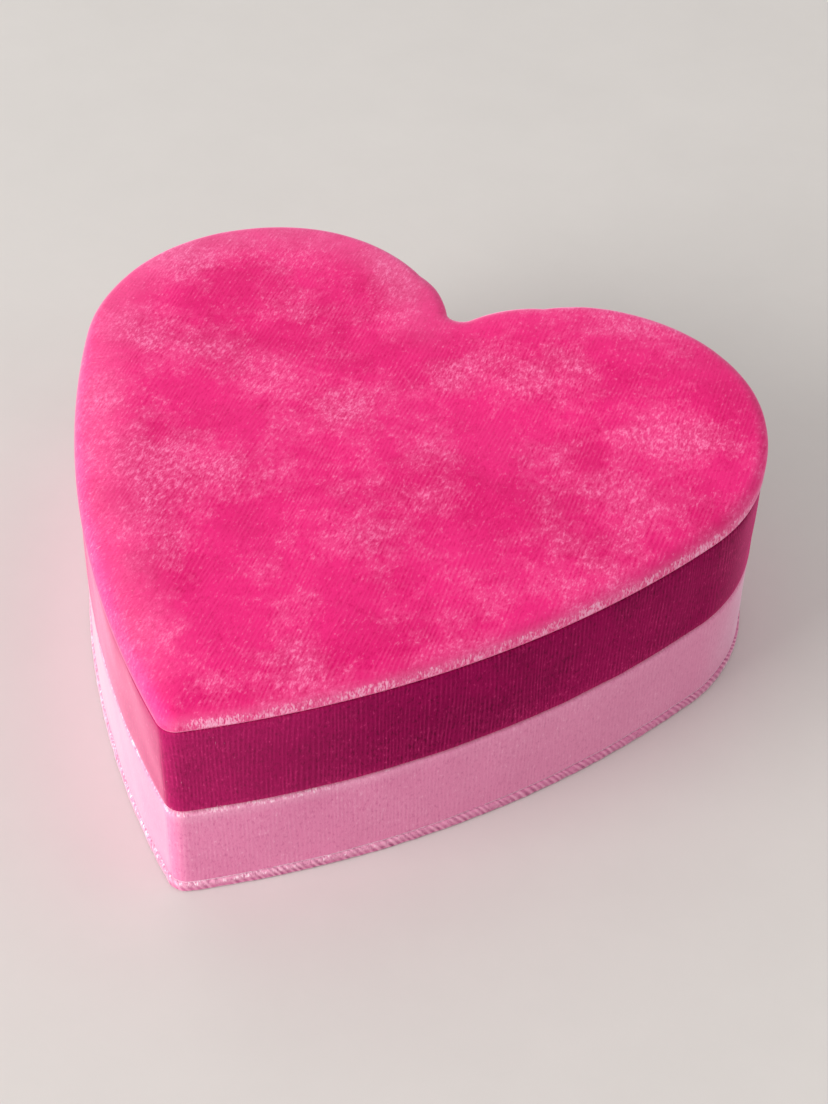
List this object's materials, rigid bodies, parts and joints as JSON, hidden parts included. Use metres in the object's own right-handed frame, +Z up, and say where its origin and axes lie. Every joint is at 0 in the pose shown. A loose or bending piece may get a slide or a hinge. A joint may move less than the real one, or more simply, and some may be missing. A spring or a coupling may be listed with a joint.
{
  "type": "heart-shaped trinket box",
  "caption": "Heart-shaped trinket box of velvet-wrapped board: a pale pink tray with an inner collar and a hot pink lift-off lid with a padded top.",
  "frame": {"origin": "middle of the shut box's footprint, on the table", "axes": "+Z up along the lid's lift, +X across the two lobes, the point of the heart at -Y"},
  "size_m": [0.1512, 0.1456, 0.051],
  "materials": {
    "velvet_hot_pink": "crushed velvet with a fine rib",
    "velvet_pale_pink": "velvet with a fine rib",
    "velvet_tray": "short-pile velvet",
    "satin_pink": "satin",
    "greyboard": "matte",
    "foam": "open-cell foam",
    "wadding": "soft wadding"
  },
  "bodies": {
    "base": {"base_plate_board": "greyboard", "base_plate_velvet": "velvet_pale_pink", "base_wall_board": "greyboard", "base_wall_velvet": "velvet_pale_pink", "collar_board": "greyboard", "collar_lining": "satin_pink", "floor_pad_card": "greyboard", "floor_pad_foam": "foam", "floor_pad_cover": "velvet_tray"},
    "lid": {"lid_wall_board": "greyboard", "lid_wall_velvet": "velvet_hot_pink", "lid_wall_lining": "satin_pink", "lid_top_board": "greyboard", "lid_top_padding": "wadding", "lid_top_velvet": "velvet_hot_pink", "lid_ceiling_card": "greyboard", "lid_ceiling_lining": "velvet_tray"}
  },
  "joints": [
    {"name": "lid_lift", "type": "slide", "parent": "base", "child": "lid", "axis": [0, 0, 1], "range_m": [0, 0.08]}
  ]
}
